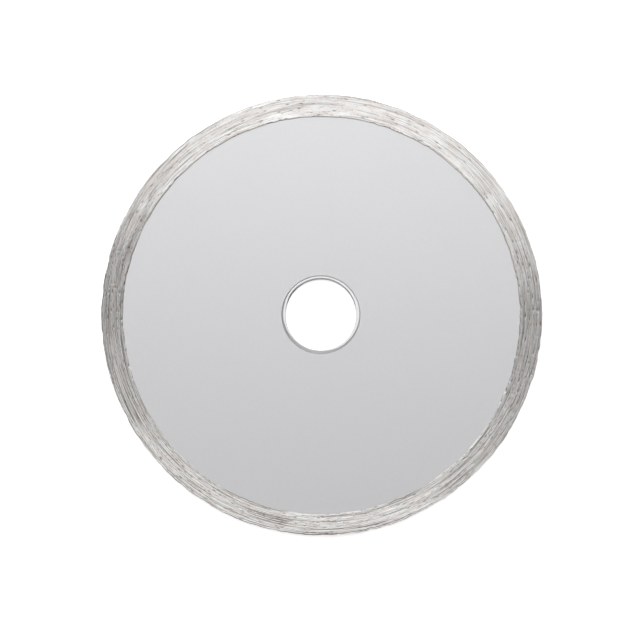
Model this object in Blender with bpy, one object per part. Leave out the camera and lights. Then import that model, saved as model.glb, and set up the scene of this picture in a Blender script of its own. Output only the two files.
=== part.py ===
"""Continuous-rim diamond blade for an angle grinder, with a push-out reducing ring in its bore.

Three pieces make the blade: a flat steel core, a diamond rim sintered round the core's edge, and a
reducing ring that is a light push fit in the core's bore. The rim grips the core with keys of bond
metal, which fill dovetail notches in a thinned tongue along the core's edge.

Lengths are in metres. The origin is the centre of the bore on the blade's mid plane, and +Z runs
along the bore.
"""

import math

import bmesh
import bpy

# Driving dimensions of the blade as it is bought
BLADE_DIAMETER = 0.125
RIM_HEIGHT = 0.0061
CORE_THICKNESS = 0.0014
RIM_PROUD = 0.0003
CORE_BORE = 0.02223
RING_WALL = 0.001085

# Edge breaks and rounds
BORE_CHAMFER = 0.00012
RING_ROUND = 0.00036
RIM_CORNER_ROUND = 0.0002
LIP_ROUND = 0.00012
MOST_ROUND_SHARE = 0.45

# Tongue and dovetail notches along the core's edge, hidden inside the rim
TONGUE_REBATE = 0.0001
TONGUE_BAND = 0.0008
NOTCH_DEPTH = 0.0012
NOTCH_MOUTH = 0.0026
NOTCH_FLARE = 0.0003
TOOTH_TIP = 0.0042

# Clearances between pieces
SINTER_GAP = 0.00003
RING_FIT = 0.00003

# How far a cutting tool runs past the surface that it cuts, and a key into the bond that carries it
TOOL_OVERRUN = 0.0004

# Smoothness of round shapes
STEPS_PER_TOOTH = 2
RING_STEPS = 80
ROUND_STEPS = 3
SHARP_ANGLE = math.radians(28)

# Radii and half heights that follow from the sizes above
rim_outer = BLADE_DIAMETER / 2
rim_inner = rim_outer - RIM_HEIGHT
bore_radius = CORE_BORE / 2
ring_outer = bore_radius - RING_FIT
ring_inner = ring_outer - RING_WALL

core_half = CORE_THICKNESS / 2
rim_half = core_half + RIM_PROUD
tongue_half = core_half - TONGUE_REBATE
groove_half = tongue_half + SINTER_GAP

shoulder = rim_inner - SINTER_GAP
notch_floor = rim_inner + TONGUE_BAND
tooth_tip = notch_floor + NOTCH_DEPTH
groove_wall = tooth_tip + SINTER_GAP

tooth_count = round(2 * math.pi * tooth_tip / (NOTCH_MOUTH + TOOTH_TIP))
blade_steps = STEPS_PER_TOOTH * tooth_count


def finish(name, colour, metallic, roughness):
    """A Principled material of one colour."""
    material = bpy.data.materials.new(name)
    material.use_nodes = True
    shader = material.node_tree.nodes["Principled BSDF"]
    shader.inputs["Base Color"].default_value = (*colour, 1.0)
    shader.inputs["Metallic"].default_value = metallic
    shader.inputs["Roughness"].default_value = roughness
    return material


def rounded(corners):
    """A closed outline from (radius, height, round) corners, with each round drawn as an arc."""
    outline = []
    for i, (r, z, size) in enumerate(corners):
        if not size:
            outline.append((r, z))
            continue
        before, after = corners[i - 1], corners[(i + 1) % len(corners)]
        towards = [unit(p[0] - r, p[1] - z) for p in (before, after)]
        half_corner = math.acos(sum(a * b for a, b in zip(*towards))) / 2
        along = size / math.tan(half_corner)
        middle = unit(towards[0][0] + towards[1][0], towards[0][1] + towards[1][1])
        reach = size / math.sin(half_corner)
        centre = (r + middle[0] * reach, z + middle[1] * reach)
        ends = [(r + t[0] * along - centre[0], z + t[1] * along - centre[1]) for t in towards]
        start, stop = (math.atan2(e[1], e[0]) for e in ends)
        sweep = (stop - start + math.pi) % (2 * math.pi) - math.pi
        for k in range(ROUND_STEPS + 1):
            angle = start + sweep * k / ROUND_STEPS
            outline.append((centre[0] + size * math.cos(angle), centre[1] + size * math.sin(angle)))
    return outline


def unit(x, y):
    length = math.hypot(x, y)
    return (x / length, y / length)


def node(name, mesh, material, parent):
    """The mesh as a named object, smooth over its round faces and crisp at its edges."""
    mesh.materials.append(material)
    mesh.shade_smooth()
    mesh.set_sharp_from_angle(angle=SHARP_ANGLE)
    made = bpy.data.objects.new(name, mesh)
    made.parent = parent
    bpy.context.scene.collection.objects.link(made)
    return made


def turned(name, outline, steps):
    """A mesh made by turning a closed outline of (radius, height) points once round +Z."""
    shape = bmesh.new()
    points = [shape.verts.new((r, 0, z)) for r, z in outline]
    edges = [shape.edges.new((points[i - 1], points[i])) for i in range(len(points))]
    bmesh.ops.spin(
        shape,
        geom=points + edges,
        cent=(0, 0, 0),
        axis=(0, 0, 1),
        angle=2 * math.pi,
        steps=steps,
        use_merge=True,
    )
    bmesh.ops.recalc_face_normals(shape, faces=shape.faces)
    mesh = bpy.data.meshes.new(name)
    shape.to_mesh(mesh)
    shape.free()
    return mesh


def dovetail_half_width(radius):
    """Half the width of a notch at a radius: the mouth at the tooth tips, wider towards the floor."""
    return NOTCH_MOUTH / 2 + NOTCH_FLARE * (tooth_tip - radius) / NOTCH_DEPTH


def dovetails(name, inner, outer, inset, half_height):
    """A hidden tool of dovetail prisms, one at each notch, with their flanks drawn in by inset."""
    shape = bmesh.new()
    plan = [
        (inner, -dovetail_half_width(inner) + inset),
        (outer, -dovetail_half_width(outer) + inset),
        (outer, dovetail_half_width(outer) - inset),
        (inner, dovetail_half_width(inner) - inset),
    ]
    for i in range(tooth_count):
        turn = 2 * math.pi * i / tooth_count
        across, along = math.sin(turn), math.cos(turn)
        foot = [
            shape.verts.new((x * along - y * across, x * across + y * along, -half_height))
            for x, y in plan
        ]
        base = shape.faces.new(foot)
        raised = bmesh.ops.extrude_face_region(shape, geom=[base])["geom"]
        top = [part for part in raised if isinstance(part, bmesh.types.BMVert)]
        bmesh.ops.translate(shape, verts=top, vec=(0, 0, 2 * half_height))
    bmesh.ops.recalc_face_normals(shape, faces=shape.faces)
    mesh = bpy.data.meshes.new(name)
    shape.to_mesh(mesh)
    shape.free()
    tool = bpy.data.objects.new(name, mesh)
    tool.hide_render = True
    tool.display_type = "WIRE"
    bpy.context.scene.collection.objects.link(tool)
    return tool


def combine(piece, tool, operation):
    change = piece.modifiers.new(tool.name, "BOOLEAN")
    change.operation = operation
    change.object = tool


def make_steel_core(parent):
    """A flat punched disc: chamfered bore, parallel faces, and a thinner tongue with dovetail notches."""
    outline = [
        (shoulder, core_half),
        (shoulder, tongue_half),
        (tooth_tip, tongue_half),
        (tooth_tip, -tongue_half),
        (shoulder, -tongue_half),
        (shoulder, -core_half),
        (bore_radius + BORE_CHAMFER, -core_half),
        (bore_radius, BORE_CHAMFER - core_half),
        (bore_radius, core_half - BORE_CHAMFER),
        (bore_radius + BORE_CHAMFER, core_half),
    ]
    satin_steel = finish("satin_steel", (0.64, 0.64, 0.65), 0.8, 0.42)
    disc = turned("steel_core", outline, blade_steps)
    core = node("steel_core", disc, satin_steel, parent)
    notches = dovetails(
        "notch_cutters",
        inner=notch_floor,
        outer=tooth_tip + TOOL_OVERRUN,
        inset=0,
        half_height=core_half,
    )
    combine(core, notches, "DIFFERENCE")
    return core


def make_diamond_rim(parent):
    """The sintered ring: sides proud of the core, two lips over the tongue, keys between its teeth."""
    corners = [
        (rim_inner, rim_half, LIP_ROUND),
        (rim_outer, rim_half, RIM_CORNER_ROUND),
        (rim_outer, -rim_half, RIM_CORNER_ROUND),
        (rim_inner, -rim_half, LIP_ROUND),
        (rim_inner, -groove_half, 0),
        (groove_wall, -groove_half, 0),
        (groove_wall, groove_half, 0),
        (rim_inner, groove_half, 0),
    ]
    ground_bond = finish("ground_bond", (0.62, 0.59, 0.56), 1.0, 0.38)
    grooved_ring = turned("diamond_rim", rounded(corners), blade_steps)
    rim = node("diamond_rim", grooved_ring, ground_bond, parent)
    middle_of_lip = (groove_half + rim_half) / 2
    keys = dovetails(
        "bond_keys",
        inner=notch_floor + SINTER_GAP,
        outer=groove_wall + TOOL_OVERRUN,
        inset=SINTER_GAP,
        half_height=middle_of_lip,
    )
    combine(rim, keys, "UNION")
    return rim


def make_reducing_ring(parent):
    """A plain pressed ring, flush with the core, with all four edges rolled over."""
    edge = min(RING_ROUND, MOST_ROUND_SHARE * RING_WALL, MOST_ROUND_SHARE * CORE_THICKNESS)
    corners = [
        (ring_inner, core_half, edge),
        (ring_outer, core_half, edge),
        (ring_outer, -core_half, edge),
        (ring_inner, -core_half, edge),
    ]
    bright_steel = finish("bright_steel", (0.66, 0.66, 0.66), 1.0, 0.28)
    hoop = turned("reducing_ring", rounded(corners), RING_STEPS)
    return node("reducing_ring", hoop, bright_steel, parent)


for old in list(bpy.data.objects):
    bpy.data.objects.remove(old)

blade_axis = bpy.data.objects.new("blade_axis", None)
bpy.context.scene.collection.objects.link(blade_axis)
make_steel_core(blade_axis)
make_diamond_rim(blade_axis)
make_reducing_ring(blade_axis)
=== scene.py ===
import math

import bpy
import numpy as np
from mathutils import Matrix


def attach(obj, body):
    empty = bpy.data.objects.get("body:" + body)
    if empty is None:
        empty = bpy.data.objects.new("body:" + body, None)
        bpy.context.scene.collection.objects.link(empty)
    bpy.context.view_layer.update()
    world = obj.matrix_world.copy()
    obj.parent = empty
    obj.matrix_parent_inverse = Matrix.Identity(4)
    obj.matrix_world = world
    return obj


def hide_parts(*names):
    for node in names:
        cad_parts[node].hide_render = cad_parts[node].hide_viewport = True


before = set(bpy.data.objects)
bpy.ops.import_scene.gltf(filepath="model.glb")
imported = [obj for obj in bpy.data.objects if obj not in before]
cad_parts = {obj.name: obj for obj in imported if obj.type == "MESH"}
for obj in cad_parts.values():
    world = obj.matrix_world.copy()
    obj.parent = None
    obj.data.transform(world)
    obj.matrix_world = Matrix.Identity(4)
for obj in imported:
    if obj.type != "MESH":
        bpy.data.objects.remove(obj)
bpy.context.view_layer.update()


# Steel core
# A flat disc punched from sheet steel, with a satin silver lacquer on both faces and a round bore. The rim
# is sintered onto its edge. The solid from the frame already has its shape, so only the finish is made here.

CORE_SILVER = (0.703, 0.703, 0.715, 1)
CORE_SILVER_DULL = (0.663, 0.663, 0.675, 1)
CORE_ROUGHNESS = (0.49, 0.52)
CORE_METALLIC = 0.4
CLOUD_SCALE = 55.0
FLAKE_SCALE = 5200.0
FLAKE_HEIGHT = 0.00002
NOISE_SPAN = (0.3, 0.7)


def new_finish(name):
    """A material and its Principled shader, with the node tree that holds both."""
    material = bpy.data.materials.new(name)
    material.use_nodes = True
    return material, material.node_tree, material.node_tree.nodes["Principled BSDF"]


def feed(tree, node, inputs):
    """Sets each named socket of the node to a value, or links it to the socket that feeds it."""
    for key, value in inputs.items():
        if isinstance(value, bpy.types.NodeSocket):
            tree.links.new(value, node.inputs[key])
        else:
            node.inputs[key].default_value = value


def add(tree, kind, inputs=(), **settings):
    """A new node: settings are its own choices, and inputs are fed to its sockets."""
    made = tree.nodes.new("ShaderNode" + kind)
    for key, value in settings.items():
        setattr(made, key, value)
    feed(tree, made, dict(inputs))
    return made


def noise(tree, place, scale, detail, roughness=0.5):
    """Fractal noise of the place. Nearly all of it lies within NOISE_SPAN."""
    inputs = {"Vector": place, "Scale": scale, "Detail": detail, "Roughness": roughness}
    return add(tree, "TexNoise", inputs).outputs["Fac"]


def stretch(tree, value, span, to=(0.0, 1.0)):
    """The value carried in a straight line from one span to another, and held at the ends of it."""
    inputs = {"Value": value, "From Min": span[0], "From Max": span[1], "To Min": to[0], "To Max": to[1]}
    return add(tree, "MapRange", inputs).outputs["Result"]


def blend(tree, amount, first, second):
    """The mix of two colours: the first where the amount is 0, the second where it is 1."""
    return add(tree, "Mix", {"Factor": amount, "A": first, "B": second}, data_type="RGBA").outputs[2]


def paint(piece, material):
    """Gives the piece this finish and no other."""
    piece.data.materials.clear()
    piece.data.materials.append(material)


def satin_lacquer():
    """Silver lacquer over rolled steel, from noise of the place.

    Fine noise is the flake in the colour and a slight grain. Coarse noise is faint clouds in the gloss.
    """
    material, tree, shader = new_finish("satin_lacquer")
    place = add(tree, "TexCoord").outputs["Object"]
    clouds = noise(tree, place, CLOUD_SCALE, 3.0, 0.55)
    flake = noise(tree, place, FLAKE_SCALE, 2.0, 0.6)
    grain = add(tree, "Bump", {"Height": flake, "Strength": 0.12, "Distance": FLAKE_HEIGHT})
    feed(tree, shader, {
        "Base Color": blend(tree, stretch(tree, flake, NOISE_SPAN), CORE_SILVER_DULL, CORE_SILVER),
        "Roughness": stretch(tree, clouds, NOISE_SPAN, CORE_ROUGHNESS),
        "Normal": grain.outputs["Normal"],
        "Metallic": CORE_METALLIC,
    })
    return material


paint(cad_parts["steel_core"], satin_lacquer())


# Diamond rim
# One ring of metal powder and diamond, pressed and sintered round the core and then ground on its sides.
# Grinding wears the bond away except behind each grain, which leaves a short comet tail along the rim.

# Points of the surface: columns round the rim, rows across it from the front lip to the back one
COLUMNS = 900
LIP_ROWS = 5
FRONT_ROWS = 58
CORNER_ROWS = 3
EDGE_ROWS = 6
BACK_ROWS = 23
ARC_POINTS = 9

# The cross-section, in metres: room for the relief inside the solid, the lip over the core, the groove
FACE_ROOM = 0.00009
EDGE_ROOM = 0.00002
RIM_CORNER = 0.00008
LIP_OVERHANG = 0.00022
LIP_WIDE = 0.0005
LIP_CREST = 0.00008
LIP_SLOPE = 0.0012
SEAT_GAP = 0.00001
GROOVE_FIT = 0.00003
MICRON = 0.000001


def corners_of(node):
    """The node's vertices as (radius from the bore's axis, height)."""
    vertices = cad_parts[node].data.vertices
    flat = np.empty(len(vertices) * 3, np.float32)
    vertices.foreach_get("co", flat)
    points = flat.reshape(-1, 3).astype(float)
    return np.hypot(points[:, 0], points[:, 1]), points[:, 2]


def arc(radius, height, size, start, stop):
    """Points of a round corner about (radius, height), from one angle in degrees to another.

    Size is the corner's radius, or its two half axes along the radius and the height.
    """
    turn = np.radians(np.linspace(start, stop, ARC_POINTS))
    return np.array((radius, height)) + np.stack([np.cos(turn), np.sin(turn)], 1) * size


def smooth(t):
    """0 below 0, 1 above 1, and 3t^2 - 2t^3 between."""
    t = np.clip(t, 0, 1)
    return t * t * (3 - 2 * t)


def distance_along(outline):
    """How far along the outline each of its points is: the running sum of its straight pieces."""
    return np.concatenate([[0], np.cumsum(np.hypot(*np.diff(outline, axis=0).T))])


def spaced(outline, count, gathered=False):
    """The outline as count points from its start up to just short of its end.

    They are at even distances along it, or gathered near its two ends so that the shading breaks there.
    """
    outline = np.asarray(outline, float)
    reached = distance_along(outline)
    share = np.arange(count) / count
    along = reached[-1] * (smooth(share) if gathered else share)
    return np.stack([np.interp(along, reached, outline[:, k]) for k in (0, 1)], 1)


core_radii, core_heights = corners_of("steel_core")
rim_radii, rim_heights = corners_of("diamond_rim")
tongue_tip = core_radii.max()
tongue_half = core_heights[core_radii > tongue_tip - MICRON].max()
seat = core_heights.max() + SEAT_GAP
rim_inner, rim_outer, rim_half = rim_radii.min(), rim_radii.max(), rim_heights.max()

bond_half = rim_half - FACE_ROOM
bond_outer = rim_outer - EDGE_ROOM
lip_edge = rim_inner - LIP_OVERHANG
lip_half = bond_half + LIP_CREST
corner_radius = bond_outer - RIM_CORNER
corner_half = bond_half - RIM_CORNER
front_lip = arc(lip_edge + LIP_WIDE, seat, (LIP_WIDE, lip_half - seat), 180, 90)
front_face = np.array([
    (lip_edge + LIP_WIDE, lip_half),
    (lip_edge + LIP_SLOPE, bond_half),
    (corner_radius, bond_half),
])
front_corner = arc(corner_radius, corner_half, RIM_CORNER, 90, 0)
cutting_edge = [(bond_outer, corner_half), (bond_outer, -corner_half)]
to_the_back = (1, -1)
band = np.concatenate([
    spaced(front_lip, LIP_ROWS),
    spaced(front_face, FRONT_ROWS),
    spaced(front_corner, CORNER_ROWS),
    spaced(cutting_edge, EDGE_ROWS),
    spaced(front_corner[::-1] * to_the_back, CORNER_ROWS),
    spaced(front_face[::-1] * to_the_back, BACK_ROWS),
    spaced(front_lip[::-1] * to_the_back, LIP_ROWS),
    front_lip[:1] * to_the_back,
])
band_rows = len(band)
band_along = distance_along(band)
band_width = band_along[-1]
band_tangent = np.gradient(band, axis=0)
band_normal = np.stack([-band_tangent[:, 1], band_tangent[:, 0]], 1)
band_normal /= np.linalg.norm(band_normal, axis=1, keepdims=True)
column_step = 2 * np.pi / COLUMNS
column_turn = 2 * np.pi * np.arange(COLUMNS) / COLUMNS

# Depth of the grinding: its mean, and how much more it takes at the picture's bottom and at its left
GRIND_MEAN = 1.05
GRIND_BOTTOM = 0.32
GRIND_LEFT = 0.1


# The depth also scales the painted shade of the ticks and the bond's tone and painted shade
def depth_round(turn):
    """How deep the grinding cuts at a place round the rim: the mean, less a sine wave and a cosine wave."""
    return GRIND_MEAN - GRIND_BOTTOM * np.sin(turn) - GRIND_LEFT * np.cos(turn)


# The grains in the bond and the tails behind them. A tail's length is in sizes of its grain
SEED = 7
GRAINS_ROUND = 310
GRAINS_ACROSS = 12
GRAIN_MIDDLE_SIZE = 0.00027
GRAIN_SPREAD = 0.2
GRAIN_SIZES = (0.00018, 0.00036)
PITTED_SHARE = 0.11
PITTED_SIZES = (0.00036, 0.00054)
TAIL_LENGTHS = (5, 20)
TAIL_HEIGHT = 0.00004
PITTED_TAIL_HEIGHT = 0.00011
TAIL_HEIGHT_SHARES = (0.4, 1.2)
TAIL_HALF_WIDTHS = (0.0001, 0.00014)
TAIL_DRIFT = 0.02
# Ticks are short lines of painted shade in a hollow beside a tail
TICK_SHADE_MOST = 0.8
TICK_LENGTHS = (0.0006, 0.002)

dice = np.random.default_rng(SEED)
grid_round, grid_across = np.meshgrid(np.arange(GRAINS_ROUND), np.arange(GRAINS_ACROSS))
grain_turn = ((grid_round + dice.random(grid_round.shape)) / GRAINS_ROUND * 2 * np.pi).ravel()
grain_along = ((grid_across + dice.random(grid_round.shape)) / GRAINS_ACROSS * band_width).ravel()
grain_count = grain_turn.size
grain_pitted = dice.random(grain_count) < PITTED_SHARE
grain_size = np.where(
    grain_pitted,
    dice.uniform(*PITTED_SIZES, grain_count),
    np.clip(dice.lognormal(math.log(GRAIN_MIDDLE_SIZE), GRAIN_SPREAD, grain_count), *GRAIN_SIZES),
)
grain_radius = np.interp(grain_along, band_along, band[:, 0])
tail_length = grain_size * dice.uniform(*TAIL_LENGTHS, grain_count)
tail_height = np.where(grain_pitted, PITTED_TAIL_HEIGHT, TAIL_HEIGHT)
tail_height = tail_height * dice.uniform(*TAIL_HEIGHT_SHARES, grain_count) * depth_round(grain_turn)
tail_half_width = dice.uniform(*TAIL_HALF_WIDTHS, grain_count)
tail_drift = dice.normal(0, TAIL_DRIFT, grain_count)
tick_side = dice.choice((-1, 1), grain_count)
# Painted shade of the ticks, darker where the grinding is deeper
tick_shade = TICK_SHADE_MOST * dice.random(grain_count) ** 2 * depth_round(grain_turn)
tick_length = dice.uniform(*TICK_LENGTHS, grain_count)

# What a grain leaves behind it: the flanks' depth in heights of the ridge, a pit in sizes of its grain,
# how dark the painted shade on the flanks is, and a tick of painted shade whose side step is in half
# widths of the tail
FLANK_DEEP = 0.8
PIT_DEEP = 0.18
PIT_LONG = 1.1
PIT_WIDE = 0.36
PIT_BEHIND = 0.2
FLANK_SHADE = 0.08
PITTED_FLANK_SHADE = 0.3
TICK_ASIDE = 1.7
TICK_HALF_WIDTH = 0.0001
TAIL_COLUMNS = np.arange(-4, 26)
TAIL_ROWS = np.arange(-7, 8)[:, None]


def each(values):
    """One value for each mark, shaped to stand against the mark's own patch of rows and columns."""
    return values[:, None, None]


def stamped(row, column, values):
    """A field on the band that holds, at each place, the largest of the values that fall there."""
    row, column = np.broadcast_arrays(row, column)
    inside = (row >= 0) & (row < band_rows)
    field = np.zeros((band_rows, COLUMNS))
    np.maximum.at(field, (row[inside], column[inside] % COLUMNS), values[inside])
    return field


def comet_tails():
    """Ridge heights, flank and pit depths, and how dark the painted shade is, on the band.

    At a distance a behind its grain and d from its middle line, a ridge is
    height * (1 - a / length)^0.6 * exp(-(d / half width)^2), and it rises from the grain over two and a
    half grain sizes. Hollows run along both flanks of the ridge, at twice its half width, with a little
    painted shade in them. Where a grain was pulled out there is a pit, longer than it is wide, painted dark
    as shade, and the flanks behind it get more painted shade. A dark tick of painted shade lies in one of
    the hollows, close behind the grain: exp(-(a from its middle / half its length)^4) along it.
    """
    column = each(np.floor(grain_turn / column_step).astype(int)) + TAIL_COLUMNS
    row = each(np.searchsorted(band_along, grain_along)) + TAIL_ROWS
    size, height, half_width = each(grain_size), each(tail_height), each(tail_half_width)
    pitted, short = each(grain_pitted), each(tick_length)
    a = (column * column_step - each(grain_turn)) * each(grain_radius)
    d = band_along[np.clip(row, 0, band_rows - 1)] - each(grain_along) - each(tail_drift) * a
    fade = np.clip(1 - a / each(tail_length), 0, 1) ** 0.6 * smooth(a / (2.5 * size))
    ridge = height * fade * np.exp(-((d / half_width) ** 2))
    beside = fade * np.exp(-(((np.abs(d) - 2 * half_width) / half_width) ** 2))
    flank = FLANK_DEEP * height * beside
    hole_along = (a - PIT_BEHIND * size) / (PIT_LONG * size)
    hole = pitted * np.exp(-(hole_along**2) - (d / (PIT_WIDE * size)) ** 2)
    pit = PIT_DEEP * size * hole
    tick_along = (a - 0.6 * short) / (0.5 * short)
    tick_across = (d - each(tick_side) * TICK_ASIDE * half_width) / TICK_HALF_WIDTH
    tick = np.exp(-(tick_along**4) - tick_across**2)
    tail_shade = np.maximum(hole, (FLANK_SHADE + PITTED_FLANK_SHADE * pitted) * beside)
    tail_shade = np.maximum(tail_shade, each(tick_shade) * tick)
    return [stamped(row, column, values) for values in (ridge, flank, pit, tail_shade)]


# Breaks along the two outer corners, which are where the surface leans half over, and notches in the two lips
CHIPS = 300
CHIP_DEPTHS = (0.00006, 0.0003)
CHIP_REACHES = (0.0004, 0.0016)
CHIP_HALF_WIDTH = 0.00025
CHIP_COLUMNS = np.arange(-9, 10)
CHIP_ROWS = np.arange(-7, 8)[:, None]
DEEPEST_CHIP = 0.0004
HALF_OVER = 0.7
NICKS = 140
NICK_DEPTHS = (0.00008, 0.0003)
NICK_WIDTHS = (0.00015, 0.0004)


def edge_chips():
    """Depth of the small breaks along both corners of the cutting edge.

    Each is depth * exp(-(distance across / half width)^2 - (distance along / reach)^4).
    """
    corner_rows = np.nonzero(np.diff(np.sign(band_normal[:, 0] - HALF_OVER)))[0]
    middle_row = each(dice.choice(corner_rows, CHIPS))
    middle_column = each(dice.integers(0, COLUMNS, CHIPS))
    depth = each(dice.uniform(*CHIP_DEPTHS, CHIPS) * dice.random(CHIPS))
    reach = each(dice.uniform(*CHIP_REACHES, CHIPS))
    row = middle_row + CHIP_ROWS
    column = middle_column + CHIP_COLUMNS
    across = band_along[row] - band_along[middle_row]
    along = (column - middle_column) * column_step * rim_outer
    return stamped(row, column, depth * np.exp(-((across / CHIP_HALF_WIDTH) ** 2) - (along / reach) ** 4))


def lip_nicks():
    """How far the lip is broken back, on both faces: narrow notches, depth * exp(-(distance / width)^2)."""
    depth = dice.uniform(*NICK_DEPTHS, (2, NICKS, 1))
    width = dice.uniform(*NICK_WIDTHS, (2, NICKS, 1))
    away = column_turn - dice.uniform(0, 2 * np.pi, (2, NICKS, 1))
    away = (np.remainder(away + np.pi, 2 * np.pi) - np.pi) * rim_inner
    return (depth * np.exp(-((away / width) ** 2))).max(1)


# Unevenness: waves as (height, length round the rim, length across it), and the limits of what they add up to
GROOVE_WAVES = ((0.000008, 0.005, 0.00016), (0.000014, 0.004, 0.0001))
EDGE_WAVES = ((0.00009, 0.0008, 0.001), (0.00004, 0.004, 0.001))
LIP_WAVES = ((0.00006, 0.003, 0.001), (0.00005, 0.0007, 0.001))
EDGE_WEAR_MEAN = 0.00006
EDGE_WEAR_MOST = 0.00025
LIP_WANDER_LIMITS = (-0.0001, 0.0002)
LIP_OFF_CENTRE = 0.00016
FINE_ROWS = 180

# How far from the lip's edge, or from the cutting edge, things start to change, and over what width
RELIEF_FROM_LIP = (0.0002, 0.0004)
WANDER_FROM_LIP = (0.0003, 0.0006)
SHADE_AND_DIRT_FROM_LIP = (0.0002, 0.0003)
EDGE_BLEND = 0.0015


def streaks(along, across):
    """Noise on the band: white noise blurred by a Gaussian of those lengths, scaled to a unit spread."""
    white = np.fft.rfft2(dice.standard_normal((FINE_ROWS, COLUMNS)))
    rows = np.fft.fftfreq(FINE_ROWS, band_width / FINE_ROWS)[:, None]
    columns = np.fft.rfftfreq(COLUMNS, column_step * rim_outer)[None, :]
    soft = np.exp(-2 * np.pi**2 * ((columns * along) ** 2 + (rows * across) ** 2))
    field = np.fft.irfft2(white * soft, (FINE_ROWS, COLUMNS))
    spot = band_along / band_width * (FINE_ROWS - 1)
    low = np.minimum(spot.astype(int), FINE_ROWS - 2)
    part = (spot - low)[:, None]
    field = field[low] * (1 - part) + field[low + 1] * part
    return field / field.std()


def uneven(waves):
    """The sum of the streaks that the waves describe, each times its height."""
    return sum(height * streaks(along, across) for height, along, across in waves)


def past(distance, start, width):
    """0 up to the start, 1 from a width beyond it, and smooth between."""
    return smooth((distance - start) / width)


def by_edge(radius):
    """1 at the cutting edge, falling to 0 a blend's width further in."""
    return smooth((radius - bond_outer) / EDGE_BLEND + 1)


ridges, flanks, pits, tail_shades = comet_tails()
chips = edge_chips()
grooves = uneven(GROOVE_WAVES) * depth_round(column_turn)
edge_wear = np.clip(uneven(EDGE_WAVES)[0] + EDGE_WEAR_MEAN, 0, EDGE_WEAR_MOST)
from_lip = np.minimum(band_along, band_width - band_along)[:, None]
relief = (ridges - flanks - pits + grooves) * past(from_lip, *RELIEF_FROM_LIP)
relief = np.maximum(relief - chips, -DEEPEST_CHIP)

lip_wander = np.clip([uneven(LIP_WAVES)[0] for face in ("front", "back")], *LIP_WANDER_LIMITS)
nicks = lip_nicks()
lip_wander = lip_wander + LIP_OFF_CENTRE * np.sin(column_turn) - nicks
on_front = np.arange(band_rows)[:, None] < band_rows / 2
by_lip = 1 - past(from_lip, *WANDER_FROM_LIP)
inwards = by_lip * np.where(on_front, *lip_wander) + edge_wear * by_edge(band[:, :1])
bond_radius = np.minimum(band[:, :1] + band_normal[:, :1] * relief - inwards, rim_outer - MICRON)
bond_height = np.clip(band[:, 1:] + band_normal[:, 1:] * relief, -rim_half, rim_half)

groove_half = tongue_half + GROOVE_FIT
groove_deep = tongue_tip + GROOVE_FIT
groove = np.array([
    (rim_inner, -seat),
    (rim_inner, -groove_half),
    (groove_deep, -groove_half),
    (groove_deep, groove_half),
    (rim_inner, groove_half),
    (rim_inner, seat),
])
groove_rings = np.repeat(groove[:, :, None], COLUMNS, 2)

# The UV map: strips that a ring is cut into, and the margins at their ends and their sides
STRIPS = 4
STRIP_END = 0.005
STRIP_SIDE = 0.01


def mesh_piece(name, points, faces):
    """A smooth-shaded object from arrays of points and of faces with the same number of corners each."""
    count, corners = faces.shape
    mesh = bpy.data.meshes.new(name)
    mesh.vertices.add(len(points))
    mesh.vertices.foreach_set("co", points.astype(np.float32).ravel())
    mesh.loops.add(count * corners)
    mesh.loops.foreach_set("vertex_index", faces.astype(np.int32).ravel())
    mesh.polygons.add(count)
    mesh.polygons.foreach_set("loop_start", np.arange(0, count * corners, corners, dtype=np.int32))
    mesh.update(calc_edges=True)
    mesh.shade_smooth()
    piece = bpy.data.objects.new(name, mesh)
    bpy.context.scene.collection.objects.link(piece)
    return piece


def closed_ring(name, radius, height):
    """A mesh through rings of points, radius and height by (row, column), closed round both ways.

    Its UV map is the surface cut into strips round the ring, laid one above another.
    """
    rows, columns = radius.shape
    turn = 2 * np.pi * np.arange(columns) / columns
    points = np.stack([radius * np.cos(turn), radius * np.sin(turn), height], -1).reshape(-1, 3)
    index = np.arange(rows * columns).reshape(rows, columns)
    below = np.roll(index, -1, 0)
    faces = np.stack([index, below, np.roll(below, -1, 1), np.roll(index, -1, 1)], -1).reshape(-1, 4)
    piece = mesh_piece(name, points, faces)
    section = np.stack([radius.mean(1), height.mean(1)])
    lengths = np.hypot(*(np.roll(section, -1, 1) - section))
    reached = np.concatenate([[0], np.cumsum(lengths)]) / lengths.sum()
    row, column = np.indices((rows, columns))[..., None]
    strip, step = np.divmod(column, columns // STRIPS)
    u = STRIP_END + (1 - 2 * STRIP_END) * (step + (0, 0, 1, 1)) * STRIPS / columns
    v = (strip + STRIP_SIDE + (1 - 2 * STRIP_SIDE) * reached[row + (0, 1, 1, 0)]) / STRIPS
    layer = piece.data.uv_layers.new(name="OFBake")
    layer.uv.foreach_set("vector", np.stack([u, v], -1).astype(np.float32).ravel())
    return piece


def note(piece, name, kind, field, values):
    """Writes an attribute of the piece's points."""
    layer = piece.data.attributes.new(name, kind, "POINT")
    layer.data.foreach_set(field, np.asarray(values, np.float32).ravel())


rim = closed_ring(
    "sintered_rim",
    np.concatenate([bond_radius, groove_rings[:, 0]]),
    np.concatenate([bond_height, groove_rings[:, 1]]),
)

# Painted shade and dirt, from 0 to 1: painted shade in the pits, beside the tails and on the lips, much more
# on the lips at the picture's top; the outer corners darker where the edge is worn, also more at the top;
# and dirt in chips and nicks
LIP_SHADE = 0.28
CORNER_DARK = 0.5
CORNER_DARK_WIDE = 0.0002
TOP_DARK_SWING = 0.9
CHIP_DIRT = 0.3
NICK_OF_FULL_DIRT = 0.0004

# How much darker the lips and the outer corners are painted: most at the picture's top, least at its bottom
darker_at_top = 1 + TOP_DARK_SWING * np.sin(column_turn)
# Painted shade of the tails and pits, and dirt in the chips
shade_and_dirt = np.maximum(tail_shades, np.clip(chips / CHIP_DEPTHS[1], 0, CHIP_DIRT))
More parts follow.
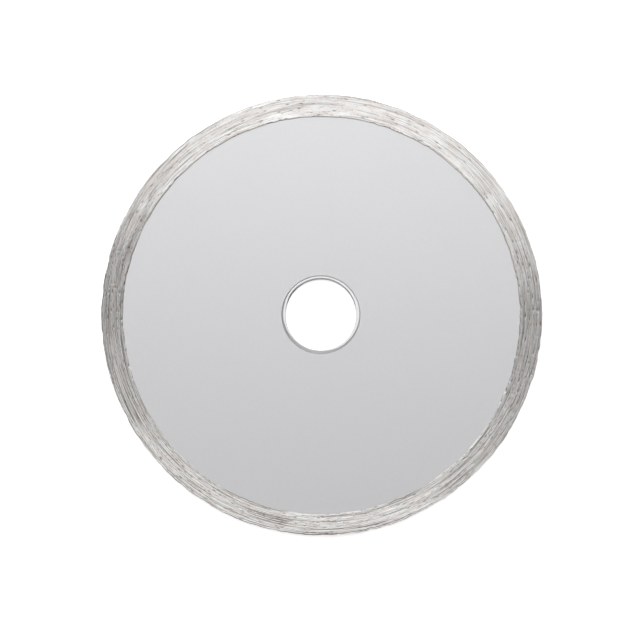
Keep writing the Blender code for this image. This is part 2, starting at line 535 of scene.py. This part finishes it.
# Painted shade along both lips, and dirt in the nicks
lip_shade_and_nick_dirt = LIP_SHADE * darker_at_top + np.where(on_front, *nicks) / NICK_OF_FULL_DIRT
shade_and_dirt = np.maximum(shade_and_dirt, lip_shade_and_nick_dirt * (1 - past(from_lip, *SHADE_AND_DIRT_FROM_LIP)))
# The outer corners, darker where the edge is worn, much more at the picture's top than at its bottom
corner_dark = CORNER_DARK * darker_at_top * edge_wear / edge_wear.max()
from_corner = (band[:, :1] - corner_radius) / CORNER_DARK_WIDE
shade_and_dirt = np.maximum(shade_and_dirt, corner_dark * (np.abs(band_normal[:, 1:]) * np.exp(-(from_corner**2))))
shade_and_dirt = np.concatenate([shade_and_dirt, np.zeros((len(groove), COLUMNS))])
along_rows = np.concatenate([band_along, np.full(len(groove), band_width)])
lay_of = np.broadcast_arrays(np.cos(column_turn)[None], np.sin(column_turn)[None], along_rows[:, None])
note(rim, "shade_and_dirt", "FLOAT", "value", shade_and_dirt)
note(rim, "lay", "FLOAT_VECTOR", "vector", np.stack(lay_of, -1))
note(rim, "depth", "FLOAT", "value", np.tile(depth_round(column_turn), len(along_rows)))

# The bond's colours, and its patterns as cells per radian round the rim and cells per metre across it
BOND_GREY = (0.915, 0.912, 0.903, 1)
BOND_WARM = (0.94, 0.902, 0.88, 1)
# The dark colour that the painted shade and the dirt take
BOND_SHADE_AND_DIRT = (0.235, 0.205, 0.185, 1)
BOND_ROUGHNESS = (0.42, 0.62)
SCRATCH_CELLS = (14.0, 6500.0)
SCRATCH_HEIGHT = 0.00003
PATCH_CELLS = (16.0, 420.0)
PATCH_WARM = (0.4, 0.62)
WEAR_SPAN = (0.35, 0.65)
LINE_CELLS = (3.5, 4400.0)
LINE_SPAN = (0.47, 0.37)
# How dark the painted shade in the lines is
LINE_SHADE = 0.55
LINE_BUMP = 0.8
LINE_HEIGHT = 0.00016
DASH_CELLS = (16.0, 4000.0)
DASH_DARK = 0.14
MARK_CELLS = (45.0, 4200.0)
MARK_TONES = (0.72, 1.0)
MARK_BLUR = (0.5, 0.25)
# How dark the painted shade in the marks is
MARK_SHADE = 0.5
MARK_DEEP = 0.5


def work(tree, operation, *values):
    """The result of one step of arithmetic on numbers and sockets."""
    return add(tree, "Math", dict(enumerate(values)), operation=operation).outputs[0]


def ground_bond():
    """Ground sintered bond: warm grey metal, scratched round the rim, with painted shade in pits and beside
    the tails.

    The lay attribute holds the cosine and sine of the place round the rim and the distance across it, so
    noise on it runs in long streaks round the rim with no seam. Lines are the low parts of such a noise,
    painted darker as shade. Dashes are cells of a stretched Voronoi pattern with a random tone each, and
    marks are the middles of the few darkest cells of another, painted darker as shade. Lines and marks also
    shape the surface, as grooves and hollows. The depth attribute scales the tone and the painted shade.
    """
    material, tree, shader = new_finish("ground_bond")
    lay = add(tree, "Attribute", attribute_name="lay").outputs["Vector"]
    shade_and_dirt_amount = add(tree, "Attribute", attribute_name="shade_and_dirt").outputs["Fac"]
    depth = add(tree, "Attribute", attribute_name="depth").outputs["Fac"]

    def on_lay(cells):
        """The lay, scaled so that one cell of a pattern is one unit."""
        scale = (cells[0], cells[0], cells[1])
        return add(tree, "VectorMath", {0: lay, 1: scale}, operation="MULTIPLY").outputs[0]

    def cells_on_lay(cells, channel):
        """A Voronoi pattern's distances from the middles of its cells, and a random tone for each cell."""
        pattern = add(tree, "TexVoronoi", {"Vector": on_lay(cells), "Scale": 1.0}).outputs
        return pattern["Distance"], add(tree, "SeparateColor", {"Color": pattern["Color"]}).outputs[channel]

    scratches = noise(tree, on_lay(SCRATCH_CELLS), 1.0, 3.0)
    lines = noise(tree, on_lay(LINE_CELLS), 1.0, 1.0)
    patches = noise(tree, on_lay(PATCH_CELLS), 1.0, 3.0)
    bare = blend(tree, stretch(tree, patches, PATCH_WARM), BOND_GREY, BOND_WARM)
    from_mark, mark_tone = cells_on_lay(MARK_CELLS, "Green")
    mark_tone = stretch(tree, mark_tone, MARK_TONES)
    mark = work(tree, "MULTIPLY", stretch(tree, from_mark, MARK_BLUR), mark_tone)
    dash_tone = work(tree, "MULTIPLY", cells_on_lay(DASH_CELLS, "Red")[1], DASH_DARK)
    # Dashes are a random tone; lines and marks are painted shade in their grooves and hollows
    tone = work(tree, "ADD", dash_tone, stretch(tree, lines, LINE_SPAN, (0.0, LINE_SHADE)))
    tone = work(tree, "MULTIPLY_ADD", mark, MARK_SHADE, tone)
    # Tone and painted shade are darker where the grinding is deeper, towards the picture's bottom and left
    tone = work(tree, "MULTIPLY", tone, depth)
    wear = add(tree, "Mix", {"Factor": 0.5, "A": scratches, "B": patches}).outputs[0]
    scratched = add(tree, "Bump", {"Height": scratches, "Strength": 0.35, "Distance": SCRATCH_HEIGHT})
    lined = add(tree, "Bump", {
        "Height": work(tree, "MULTIPLY_ADD", mark, -MARK_DEEP, lines),
        "Strength": work(tree, "MULTIPLY", depth, LINE_BUMP),
        "Distance": LINE_HEIGHT,
        "Normal": scratched.outputs["Normal"],
    })
    feed(tree, shader, {
        # The darker of the painted shade and dirt from the attribute and the tone and painted shade of the
        # patterns
        "Base Color": blend(tree, work(tree, "MAXIMUM", shade_and_dirt_amount, tone), bare, BOND_SHADE_AND_DIRT),
        "Roughness": stretch(tree, wear, WEAR_SPAN, BOND_ROUGHNESS),
        "Normal": lined.outputs["Normal"],
        "Tangent": add(tree, "Tangent", direction_type="RADIAL", axis="Z").outputs[0],
        "Metallic": 1.0,
        "Anisotropic": 0.9,
        "Anisotropic Rotation": 0.25,
    })
    return material


paint(rim, ground_bond())
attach(rim, "blade")
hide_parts("diamond_rim")


# Diamond grains
# Crushed synthetic diamond, about a quarter of a millimetre across, sintered into the bond. Grinding has
# bared the grains at the surface, and each one stands a little proud at the head of its comet tail.

GRAIN_PALE = (0.62, 0.59, 0.55, 1)
GRAIN_DARK = (0.16, 0.15, 0.13, 1)
GRAIN_PROUD = FACE_ROOM / 2
GRAINS_FROM_LIP = 0.0007
FLAW_SCALE = 9000.0
FLAW_SHADES = (0.7, 1.0)


def cut_crystal():
    """A cuboctahedron, the shape that synthetic diamond grows in: its corners and its faces as triangles.

    The corners are (+-1, +-1, 0) and the like, scaled to a unit distance from the middle. A face is the
    corners that lie furthest along one of the axes or of the cube's diagonals, in order round it.
    """
    signs = np.array(np.meshgrid((-1, 1), (-1, 1), indexing="ij")).reshape(2, -1).T
    corners = np.concatenate([np.insert(signs, k, 0, 1) for k in (2, 1, 0)]) / math.sqrt(2)
    diagonals = np.array(np.meshgrid((-1, 1), (-1, 1), (-1, 1))).reshape(3, -1).T
    triangles = []
    for towards in np.concatenate([np.eye(3), -np.eye(3), diagonals]):
        reach = corners @ towards
        facet = np.nonzero(reach > reach.max() - MICRON)[0]
        middle = corners[facet].mean(0)
        spokes = corners[facet] - middle
        square_to_first = np.cross(middle, spokes[0]) / np.linalg.norm(middle)
        facet = facet[np.argsort(np.arctan2(spokes @ square_to_first, spokes @ spokes[0]))]
        triangles += [(facet[0], facet[k], facet[k + 1]) for k in range(1, len(facet) - 1)]
    return corners, np.array(triangles)


def random_turns(count):
    """Rotation matrices from random unit quaternions (w, x, y, z)."""
    quaternion = dice.standard_normal((count, 4))
    w, x, y, z = (quaternion / np.linalg.norm(quaternion, axis=1, keepdims=True)).T
    return np.stack([
        1 - 2 * (y * y + z * z), 2 * (x * y - w * z), 2 * (x * z + w * y),
        2 * (x * y + w * z), 1 - 2 * (x * x + z * z), 2 * (y * z - w * x),
        2 * (x * z - w * y), 2 * (y * z + w * x), 1 - 2 * (x * x + y * y),
    ], -1).reshape(count, 3, 3)


def out_from_axis(flat):
    """Points or directions given as (radius, height), turned to the places of the grains that show."""
    turn = grain_turn[shown]
    return np.stack([flat[:, 0] * np.cos(turn), flat[:, 0] * np.sin(turn), flat[:, 1]], 1)


def on_band(field):
    """A field of two values along the band, at the grains that show."""
    return np.stack([np.interp(grain_along[shown], band_along, field[:, k]) for k in (0, 1)], 1)


crystal, crystal_faces = cut_crystal()
from_either_lip = np.minimum(grain_along, band_width - grain_along)
shown = np.nonzero((from_either_lip > GRAINS_FROM_LIP) & ~grain_pitted)[0]
grain_seat = on_band(band)
grain_seat[:, 0] -= (edge_wear[(grain_turn / column_step).astype(int)] * by_edge(grain_radius))[shown]
outwards = out_from_axis(on_band(band_normal))
grain_points = np.einsum("nij,kj->nki", random_turns(len(shown)), crystal)
grain_points *= (grain_size[shown] / 2)[:, None, None]
reach_outwards = np.einsum("nki,ni->nk", grain_points, outwards).max(1)
grain_middle = out_from_axis(grain_seat) + outwards * (GRAIN_PROUD - reach_outwards)[:, None]
grain_points += grain_middle[:, None]
grain_points[..., 2] = np.clip(grain_points[..., 2], -rim_half, rim_half)
from_axis = np.hypot(grain_points[..., 0], grain_points[..., 1])[..., None]
grain_points[..., :2] *= np.minimum(1, (rim_outer - MICRON) / from_axis)
grain_faces = crystal_faces[None] + len(crystal) * np.arange(len(shown))[:, None, None]
grains = mesh_piece("diamond_grains", grain_points.reshape(-1, 3), grain_faces.reshape(-1, 3))
grains.data.shade_flat()
note(grains, "shade", "FLOAT", "value", np.repeat(np.sqrt(dice.random(len(shown))), len(crystal)))


def rough_diamond():
    """Saw-grade diamond: most grains pale with smeared bond, a few near black, glassy on their facets."""
    material, tree, shader = new_finish("rough_diamond")
    shade = add(tree, "Attribute", attribute_name="shade").outputs["Fac"]
    place = add(tree, "TexCoord").outputs["Object"]
    flaws = stretch(tree, noise(tree, place, FLAW_SCALE, 1.0), NOISE_SPAN, FLAW_SHADES)
    feed(tree, shader, {
        "Base Color": blend(tree, work(tree, "MULTIPLY", shade, flaws), GRAIN_DARK, GRAIN_PALE),
        "Roughness": 0.25,
        "IOR": 2.2,
    })
    return material


paint(grains, rough_diamond())
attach(grains, "blade")


# Reducing ring
# A thin steel ring, blanked and tumbled so that its edges are rolled over, then plated. It is pushed into
# the core's bore by hand and takes it from 22.23 mm to the 20 mm spindle.

RING_COLUMNS = 288
WALL_ROWS = 6
BEVEL_ROWS = 8
BEVEL_FLAT = 0.88
RING_BRIGHT = (0.88, 0.88, 0.88, 1)
RING_DULL = (0.74, 0.74, 0.745, 1)
RING_ROUGHNESS = (0.32, 0.4)
RING_METALLIC = 0.9
PLATE_SCALE = 420.0

# Half axes of the inner and the outer corner at eight places, anticlockwise from the picture's right
RING_SHARP = (0.00005, 0.00005)
RING_CORNERS = (
    (RING_SHARP, (0.0001, 0.0004)),
    ((0.00043, 0.00034), (0.00014, 0.0006)),
    ((0.00056, 0.00047), (0.00015, 0.0006)),
    ((0.00047, 0.00034), (0.00014, 0.0006)),
    (RING_SHARP, (0.0004, 0.0004)),
    (RING_SHARP, (0.00078, 0.00068)),
    (RING_SHARP, (0.00086, 0.00067)),
    (RING_SHARP, (0.00045, 0.00045)),
)

ring_radii, ring_heights = corners_of("reducing_ring")
ring_inner, ring_outer, ring_half = ring_radii.min(), ring_radii.max(), ring_heights.max()


def bevel(*corner):
    """A round corner flattened most of the way to its chord, as tumbling leaves a bevelled edge."""
    bow = arc(*corner)
    return bow + BEVEL_FLAT * (np.linspace(bow[0], bow[-1], len(bow)) - bow)


def ring_section(inside, outside):
    """The ring's cross-section, from the middle of its inner wall: bevelled corners with those half axes."""
    crest_inside = ring_inner + inside[0]
    crest_outside = ring_outer - outside[0]
    inner_top = ring_half - inside[1]
    outer_top = ring_half - outside[1]
    front = np.concatenate([
        spaced([(ring_inner, 0), (ring_inner, inner_top)], WALL_ROWS, gathered=True),
        spaced(bevel(crest_inside, inner_top, inside, 180, 90), BEVEL_ROWS, gathered=True),
        spaced([(crest_inside, ring_half), (crest_outside, ring_half)], WALL_ROWS, gathered=True),
        spaced(bevel(crest_outside, outer_top, outside, 90, 0), BEVEL_ROWS, gathered=True),
        spaced([(ring_outer, outer_top), (ring_outer, 0)], WALL_ROWS, gathered=True),
        [(ring_outer, 0)],
    ])
    return np.concatenate([front, front[-2:0:-1] * to_the_back])


def ring_surface():
    """Radius and height of the ring's surface, by (row, column).

    Each pair of corners gives the section at its own place round the ring. Between two places the surface
    is the mean of their sections, each weighted by smooth(1 - how many places off it is).
    """
    places = len(RING_CORNERS)
    column_place = np.arange(RING_COLUMNS) / RING_COLUMNS * places
    surface = 0
    for place, (inside, outside) in enumerate(RING_CORNERS):
        off = np.abs(column_place - place)
        weight = smooth(1 - np.minimum(off, places - off))
        surface = surface + ring_section(inside, outside)[:, :, None] * weight
    return surface[:, 0], surface[:, 1]


ring = closed_ring("bore_ring", *ring_surface())


def bright_plate():
    """Bright plated steel with dull patches, which are noise of the place in the colour and the gloss."""
    material, tree, shader = new_finish("bright_plate")
    place = add(tree, "TexCoord").outputs["Object"]
    patches = noise(tree, place, PLATE_SCALE, 3.0)
    feed(tree, shader, {
        "Base Color": blend(tree, patches, RING_BRIGHT, RING_DULL),
        "Roughness": stretch(tree, patches, NOISE_SPAN, RING_ROUGHNESS),
        "Metallic": RING_METALLIC,
    })
    return material


paint(ring, bright_plate())
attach(ring, "ring")
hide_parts("reducing_ring")


# Floor, light and camera
# The blade lies flat on a white table under soft studio light that comes mostly from the top of the picture.
# The camera looks almost straight down on it.

WHITE = (1, 1, 1, 1)
TABLE_WHITE = (0.8, 0.8, 0.8, 1)
TABLE_SIDE = 12.0
TABLE_MIRRORED = 0.2
GLOW_DISTANCES = (0.12, 0.4)
GLOW_LEVELS = (0.62, 1.0)
BACKDROP_LIGHT = 0.02
PICTURE_SIDE = 0.181
PICTURE_MIDDLE = (-0.00022, -0.00142)
CAMERA_TILT = math.radians(2.1)
LENS = 100.0
SENSOR = 36.0
VIEW_END = 20.0

# Softboxes: degrees clockwise from the picture's top and up from the table, width and height, and radiance
LAMP_AWAY = 0.6
LOW_BOX = (0.53, 0.4)
HIGH_BOX = (0.37, 0.46)
LAMPS = {
    "low_left": (-44, 20, LOW_BOX, 0.76),
    "low_middle": (5, 20, LOW_BOX, 0.4),
    "low_right": (54, 20, LOW_BOX, 0.95),
    "high_left": (-44, 52, HIGH_BOX, 1.93),
    "high_middle": (5, 52, HIGH_BOX, 1.91),
    "high_right": (54, 52, HIGH_BOX, 1.28),
    "front_fill": (175, 40, LOW_BOX, 0.8),
    "left_fill": (222, 40, (0.4, 0.4), 0.84),
    "overhead": (0, 85, (0.34, 0.34), 1.0),
}


def white_table():
    """White floor: it takes the blade's shadow, and its own glow brings the open table up to white.

    Seen straight, the glow grows with the distance from the blade, because the lamps light only the table
    near it. Seen in a reflection, it has one low level.
    """
    material, tree, shader = new_finish("white_table")
    ray = add(tree, "LightPath").outputs
    mirrored = work(tree, "MAXIMUM", ray["Is Glossy Ray"], ray["Is Transmission Ray"])
    mirrored = work(tree, "MULTIPLY", mirrored, TABLE_MIRRORED)
    place = add(tree, "TexCoord").outputs["Object"]
    away = add(tree, "VectorMath", {0: place}, operation="LENGTH").outputs["Value"]
    glow = stretch(tree, away, GLOW_DISTANCES, GLOW_LEVELS)
    seen = work(tree, "MULTIPLY", ray["Is Camera Ray"], glow)
    feed(tree, shader, {
        "Base Color": TABLE_WHITE,
        "Roughness": 0.9,
        "Specular IOR Level": 0.0,
        "Emission Color": WHITE,
        "Emission Strength": work(tree, "MAXIMUM", seen, mirrored),
    })
    return material


def softbox(name, turn, rise, size, radiance):
    """A rectangular lamp at LAMP_AWAY from the blade's middle, which it faces."""
    lamp = bpy.data.lights.new(name, "AREA")
    lamp.shape = "RECTANGLE"
    lamp.size, lamp.size_y = size
    lamp.energy = radiance * math.pi * size[0] * size[1]
    made = bpy.data.objects.new(name, lamp)
    bpy.context.scene.collection.objects.link(made)
    turn, rise = math.radians(turn), math.radians(rise)
    level = LAMP_AWAY * math.cos(rise)
    made.location = (level * math.sin(turn), level * math.cos(turn), LAMP_AWAY * math.sin(rise))
    made.rotation_euler = made.location.to_track_quat("Z", "Y").to_euler()


half = TABLE_SIDE / 2
table_points = np.array([(-half, -half), (half, -half), (half, half), (-half, half)])
table_points = np.insert(table_points, 2, -rim_half, 1)
table = mesh_piece("table", table_points, np.array([[0, 1, 2, 3]]))
paint(table, white_table())

for name, settings in LAMPS.items():
    softbox(name, *settings)

world = bpy.data.worlds.new("studio")
bpy.context.scene.world = world
world.use_nodes = True
seen_straight = add(world.node_tree, "LightPath").outputs["Is Camera Ray"]
feed(world.node_tree, world.node_tree.nodes["Background"], {
    "Color": WHITE,
    "Strength": work(world.node_tree, "MAXIMUM", seen_straight, BACKDROP_LIGHT),
})

camera = bpy.data.objects.new("camera", bpy.data.cameras.new("camera"))
bpy.context.scene.collection.objects.link(camera)
camera.data.lens = LENS
camera.data.sensor_width = SENSOR
camera.data.clip_end = VIEW_END
distance = PICTURE_SIDE * LENS / SENSOR
camera.location = (
    PICTURE_MIDDLE[0] + distance * math.sin(CAMERA_TILT),
    PICTURE_MIDDLE[1],
    rim_half + distance * math.cos(CAMERA_TILT),
)
camera.rotation_euler = (0, CAMERA_TILT, 0)
bpy.context.scene.camera = camera
bpy.context.scene.view_settings.view_transform = "Standard"
